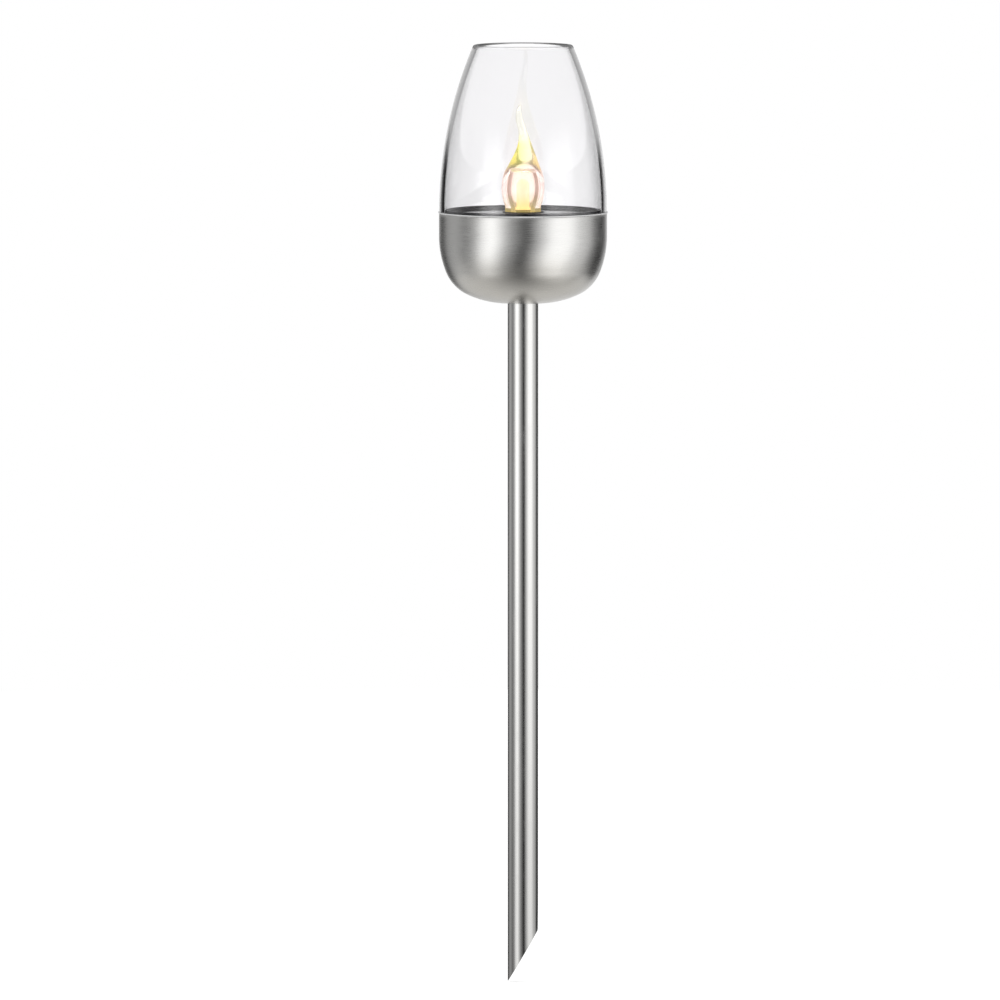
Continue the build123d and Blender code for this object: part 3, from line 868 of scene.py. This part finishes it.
def circle_radius(one, two, three):
    """Radius of the circle through three points."""
    a = (two - one).length
    b = (three - two).length
    c = (three - one).length
    half = (a + b + c) / 2
    return a * b * c / (4 * math.sqrt(half * (half - a) * (half - b) * (half - c)))


class TORCH_OT_bulb(bpy.types.Operator):
    """Make the clear flame bulb with its bent tip, and its seal"""

    bl_idname = "torch.bulb"
    bl_label = "Flame bulb"

    def execute(self, context):
        sizes = context.scene.torch_sizes
        foot = low("flame_bulb").z
        neck = 7.25 * MM
        flange = 8.55 * MM
        flange_top = foot + 1.15 * MM
        bulb_steps = 128
        # height above the chimney's foot, radius and sideways shift of each section, in millimetres
        keys = (
            (1.0, 7.2, 0.0),
            (2.4, 7.3, 0.0),
            (5.2, 8.15, 0.0),
            (9.0, 8.7, 0.0),
            (12.8, 8.45, 0.05),
            (16.2, 7.55, 0.1),
            (19.6, 5.95, 0.4),
            (24.2, 3.95, 0.75),
            (28.4, 2.45, 0.6),
            (32.5, 1.75, -0.1),
            (37.2, 1.45, -1.4),
            (41.0, 1.0, -1.65),
            (43.1, 0.35, -1.2),
        )
        rows = [(foot_level + a * MM, b * MM, c * MM) for a, b, c in keys]
        outer = [(foot, flange, 0.0), (flange_top, flange, 0.0), (flange_top, neck, 0.0)]
        outer += smooth_through(rows, 7)
        outer.append((high("flame_bulb").z, 0.0, rows[-1][2]))
        wall = sizes.bulb_wall
        roof = foot_level + 16.2 * MM
        inner = [(foot, neck - wall, 0.0)]
        hollow = smooth_through([row for row in rows if row[0] < roof - MM], 7)
        inner += [(level, reach - wall, shift) for level, reach, shift in hollow]
        corner = 1.2 * MM
        corner_steps = 8
        crown = inner[-1][1] - 0.55 * MM
        for step in range(corner_steps + 1):
            angle = math.pi / 2 * step / corner_steps
            level = roof - corner * (1 - math.sin(angle))
            inner.append((level, crown - corner * (1 - math.cos(angle)), 0.0))
        inner.append((roof, 0.0, 0.0))
        run = [*outer, *reversed(inner)]
        outline = [(reach, level) for level, reach, shift in run]
        shifts = [shift for level, reach, shift in run]
        bulb = lathe("flame_bulb_shell", outline, bulb_steps, 50.0, shifts)
        settle(bulb, finishes["bulb_plastic"], "module", "clear_plastic", "flame_bulb")
        bottom = low("bulb_seal")
        top = high("bulb_seal")
        bore = 7.3 * MM
        ring = [(bore, bottom.z), (top.x, bottom.z), (top.x, top.z), (bore, top.z)]
        seal = lathe("bulb_seal_ring", bevelled(ring, 0.35 * MM, 4), bulb_steps, 50.0)
        settle(seal, finishes["seal_rubber"], "module", "seal_rubber", "bulb_seal")
        return {"FINISHED"}


class TORCH_OT_led(bpy.types.Operator):
    """Finish the LED and the spacer under it"""

    bl_idname = "torch.led"
    bl_label = "LED"

    def execute(self, context):
        finish_copies(
            "module",
            ("led", "led_dome", "led_resin", 40.0),
            ("led_spacer", "led_spacer_tube", "black_plastic"),
        )
        return {"FINISHED"}


class TORCH_OT_panel(bpy.types.Operator):
    """Finish the bezel and the solar panel with its silver fingers and cover"""

    bl_idname = "torch.panel"
    bl_label = "Solar panel"

    def execute(self, context):
        sizes = context.scene.torch_sizes
        finish_copies(
            "module",
            ("panel_bezel", "panel_bezel_ring", "bezel_plastic", 40.0),
            ("panel_board", "panel_board_disc", "circuit_board"),
            ("solar_cells", "solar_cell_quarters", "solar_cell"),
        )
        cover = merged_copy("panel_window", "panel_cover_disc")
        settle(cover, finishes["panel_cover"], "module", "clear_plastic", "panel_window")
        rule = finger_rule()
        base = {
            "Outer": high("solar_cells").x - 0.5 * MM,
            "Inner": 9.6 * MM,
            "Gap": 1.4 * MM,
            "Thickness": 0.03 * MM,
            "Level": high("solar_cells").z - 0.005 * MM,
        }
        rows = (
            ("cell_fingers", sizes.finger_pitch, sizes.finger_width, 0.0),
            ("cell_busbars", sizes.busbar_pitch, sizes.busbar_width, math.pi / 2),
        )
        for name, pitch, width, turn in rows:
            values = {**base, "Pitch": pitch, "Width": width, "Turn": turn}
            piece = ruled_piece(name, rule, values, finishes["silver_paste"])
            settle(piece, finishes["silver_paste"], "module", "nickel_strip")
        return {"FINISHED"}


class TORCH_OT_housing(bpy.types.Operator):
    """Finish the module's housing, its O-ring, its lid and its screws"""

    bl_idname = "torch.housing"
    bl_label = "Module housing"

    def execute(self, context):
        finish_copies(
            "module",
            ("module_housing", "module_housing_cup", "black_plastic", 24.0),
            ("battery_lid", "battery_lid_plate", "black_plastic"),
            ("module_seal", "module_seal_ring", "seal_rubber", 60.0),
            ("bezel_screws", "bezel_screws_plated", "zinc_screws"),
            ("lid_screw", "lid_screw_plated", "zinc_screws"),
        )
        return {"FINISHED"}


class TORCH_OT_electronics(bpy.types.Operator):
    """Finish the circuit board with its parts, screws and leads"""

    bl_idname = "torch.electronics"
    bl_label = "Electronics"

    def execute(self, context):
        finish_copies(
            "module",
            ("pcb", "pcb_part", "circuit_board"),
            ("driver_chip", "driver_chip_part", "chip_plastic"),
            ("inductor", "inductor_part", "chip_plastic"),
            ("pcb_screws", "pcb_screws_part", "zinc_screws"),
            ("panel_wires", "panel_wires_part", "wire_insulation"),
            ("switch_wires", "switch_wires_part", "wire_insulation"),
        )
        return {"FINISHED"}


class TORCH_OT_battery(bpy.types.Operator):
    """Finish the rechargeable cell and its two contacts"""

    bl_idname = "torch.battery"
    bl_label = "Battery"

    def execute(self, context):
        finish_copies(
            "module",
            ("battery", "battery_cell", "battery_sleeve"),
            ("battery_plus_contact", "battery_plus_contact_strip", "nickel_strip", 40.0),
            ("battery_minus_contact", "battery_minus_contact_strip", "nickel_strip", 40.0),
        )
        return {"FINISHED"}


class TORCH_OT_switch(bpy.types.Operator):
    """Finish the slide switch and its knob"""

    bl_idname = "torch.switch"
    bl_label = "Switch"

    def execute(self, context):
        finish_copies("module", ("switch_body", "switch_frame", "nickel_strip"))
        finish_copies("switch", ("switch_knob", "switch_slider", "black_plastic"))
        return {"FINISHED"}


# ---------------------------------------------------------------- the stage
# azimuth in degrees from the front, and how bright the studio looks there to polished metal
studio_panels = (
    (-180.0, 0.38),
    (-167.0, 0.32),
    (-155.0, 0.04),
    (-140.0, 0.02),
    (-124.0, 0.16),
    (-106.0, 0.20),
    (-84.0, 0.10),
    (-68.0, 0.18),
    (-55.0, 0.56),
    (-40.0, 0.73),
    (-30.0, 0.47),
    (-19.0, 0.21),
    (-7.0, 0.11),
    (4.0, 0.00),
    (11.0, 0.00),
    (18.0, 0.15),
    (30.0, 0.35),
    (44.0, 0.63),
    (70.0, 0.61),
    (86.0, 0.36),
    (104.0, 0.28),
    (120.0, 0.06),
    (134.0, 0.00),
    (150.0, 0.03),
    (163.0, 0.30),
    (180.0, 0.38),
)


def studio_world(studio):
    """A white studio: plain white behind the torch, soft panels for metal and glass to mirror."""
    world = bpy.data.worlds.new("studio")
    world.use_nodes = True
    tree = world.node_tree
    tree.nodes.clear()
    x, y, z = numbers_of(tree, put(tree, "ShaderNodeTexCoord").outputs["Generated"])
    azimuth = maths(tree, "ARCTAN2", x, maths(tree, "MULTIPLY", y, -1.0))
    turn = maths(tree, "ADD", maths(tree, "DIVIDE", azimuth, 2 * math.pi), 0.5)
    # the panels lean, so they turn a little towards their lower ends
    lean = maths(tree, "MULTIPLY", maths(tree, "MINIMUM", z, 0.0), -0.06)
    stops = [(angle / 360.0 + 0.5, tone) for angle, tone in studio_panels]
    grey = put(tree, "ShaderNodeSeparateColor", {0: ramp(tree, maths(tree, "ADD", turn, lean), stops)})
    panels = maths(tree, "MULTIPLY", grey.outputs[0], studio.panel_light)
    # below the panels lies the floor, soft grey, paler to the sides and behind
    aside = maths(tree, "MULTIPLY", maths(tree, "ABSOLUTE", x), 0.3)
    ahead = maths(tree, "MULTIPLY", maths(tree, "MINIMUM", y, 0.0), 0.5)
    floor_grey = maths(tree, "ADD", maths(tree, "ADD", aside, ahead), 0.47)
    tilt = maths(tree, "ADD", z, maths(tree, "MULTIPLY", maths(tree, "MAXIMUM", x, 0.0), 0.22))
    mirrored = between(tree, remap(tree, tilt, -0.85, -0.25, 1.0, 0.0), panels, floor_grey)
    back_low = remap(tree, z, -0.55, -0.35, 1.0, 0.0)
    back_side = remap(tree, y, 0.0, 0.4, 0.0, 1.0)
    mirrored = between(tree, maths(tree, "MULTIPLY", back_low, back_side), mirrored, 0.68)
    # above eye level: the wall behind, the ceiling, and the lamp overhead
    wall_low = remap(tree, z, 0.0, 0.04, 0.0, 1.0)
    wall_side = remap(tree, y, 0.5, 0.9, 0.0, 1.0)
    mirrored = between(tree, maths(tree, "MULTIPLY", wall_low, wall_side), mirrored, 0.6)
    mirrored = between(tree, remap(tree, z, 0.12, 0.4, 0.0, 1.0), mirrored, 0.45)
    mirrored = between(tree, remap(tree, z, 0.8, 0.93, 0.0, 1.0), mirrored, 1.8)
    ray = put(tree, "ShaderNodeLightPath").outputs
    # glass shows plain white straight through, and the panels where light bounces in its edges
    bounced = maths(tree, "GREATER_THAN", ray["Glossy Depth"], 0.5)
    sparkle = maths(tree, "MULTIPLY", maths(tree, "MULTIPLY", mirrored, mirrored), 1.2)
    sparkle = maths(tree, "MAXIMUM", sparkle, remap(tree, z, 0.05, 0.3, 0.0, 0.4))
    through = between(tree, bounced, 1.0, sparkle)
    glossy = between(tree, ray["Is Glossy Ray"], 0.9, mirrored)
    clear = between(tree, ray["Is Transmission Ray"], glossy, through)
    light = between(tree, ray["Is Camera Ray"], clear, 1.0)
    # what metal mirrors from the floor is a little warm
    warmth = maths(tree, "MULTIPLY", remap(tree, z, -0.8, -0.2, 1.0, 0.0), ray["Is Glossy Ray"])
    green = maths(tree, "MULTIPLY", light, between(tree, warmth, 1.0, 0.975))
    blue = maths(tree, "MULTIPLY", light, between(tree, warmth, 1.0, 0.925))
    tone = put(tree, "ShaderNodeCombineColor", {0: light, 1: green, 2: blue})
    back = put(tree, "ShaderNodeBackground", {"Color": tone.outputs[0]})
    put(tree, "ShaderNodeOutputWorld", {"Surface": back.outputs[0]})
    bpy.context.scene.world = world


def pale_floor():
    """Matt white floor, evened out by a faint glow of its own."""
    material, tree, shader = new_finish("pale_floor")
    speckle = noise(tree, object_place(tree), 60.0, 2.0, 0.5)
    look = {
        "Base Color": tinted(tree, (0.8, 0.8, 0.8), speckle, 0.02),
        "Roughness": 0.9,
        "Specular IOR Level": 0.0,
        "Emission Color": (1.0, 1.0, 1.0, 1.0),
        "Emission Strength": 0.5,
    }
    feed(tree, shader, look)
    return material


class TORCH_OT_stage(bpy.types.Operator):
    """Make the floor, the studio light and the camera"""

    bl_idname = "torch.stage"
    bl_label = "Stage"

    def execute(self, context):
        studio = context.scene.torch_studio
        radius = studio.floor_radius
        level = -0.2 * MM
        steps = 96
        ring = []
        for turn in range(steps):
            angle = 2 * math.pi * turn / steps
            ring.append((radius * math.cos(angle), radius * math.sin(angle), level))
        mesh = bpy.data.meshes.new("floor")
        mesh.from_pydata(ring, [], [list(range(steps))])
        floor = bpy.data.objects.new("floor", mesh)
        context.scene.collection.objects.link(floor)
        mesh.materials.append(pale_floor())
        floor.visible_glossy = False
        studio_world(studio)
        lens = bpy.data.cameras.new("camera")
        camera = bpy.data.objects.new("camera", lens)
        context.scene.collection.objects.link(camera)
        camera.location = (-studio.aim_side, -studio.camera_distance, studio.camera_height)
        aim = Vector((-studio.aim_side, 0.0, studio.aim_height)) - camera.location
        camera.rotation_euler = aim.to_track_quat("-Z", "Y").to_euler()
        lens.lens = lens.sensor_width * aim.length / studio.view_width
        lens.clip_start = 0.1
        lens.clip_end = 100.0
        context.scene.camera = camera
        context.scene.view_settings.view_transform = "Standard"
        return {"FINISHED"}


class TORCH_PT_panel(bpy.types.Panel):
    """Lists the torch's operators in the sidebar"""

    bl_label = "Solar garden torch"
    bl_idname = "TORCH_PT_panel"
    bl_space_type = "VIEW_3D"
    bl_region_type = "UI"
    bl_category = "Torch"

    def draw(self, context):
        for operator in piece_operators:
            self.layout.operator(operator.bl_idname)


piece_operators = (
    TORCH_OT_stage,
    TORCH_OT_stake,
    TORCH_OT_bowl,
    TORCH_OT_spigot,
    TORCH_OT_chimney,
    TORCH_OT_bulb,
    TORCH_OT_led,
    TORCH_OT_panel,
    TORCH_OT_housing,
    TORCH_OT_electronics,
    TORCH_OT_battery,
    TORCH_OT_switch,
)
groups = (TorchSizes, TorchColours, TorchStudio)


def register():
    """Registers every class and hangs the property groups on the scene."""
    for made in (*groups, *piece_operators, TORCH_PT_panel):
        bpy.utils.register_class(made)
    bpy.types.Scene.torch_sizes = PointerProperty(type=TorchSizes)
    bpy.types.Scene.torch_colours = PointerProperty(type=TorchColours)
    bpy.types.Scene.torch_studio = PointerProperty(type=TorchStudio)


def unregister():
    """Takes the property groups and the classes away again."""
    del bpy.types.Scene.torch_studio
    del bpy.types.Scene.torch_colours
    del bpy.types.Scene.torch_sizes
    for made in reversed((*groups, *piece_operators, TORCH_PT_panel)):
        bpy.utils.unregister_class(made)


def main():
    """Builds the torch."""
    register()
    scene = bpy.context.scene
    make_finishes(scene.torch_colours, scene.torch_sizes.surround_radius)
    for operator in piece_operators:
        getattr(bpy.ops.torch, operator.bl_idname.split(".")[1])()


if __name__ == "__main__":
    main()
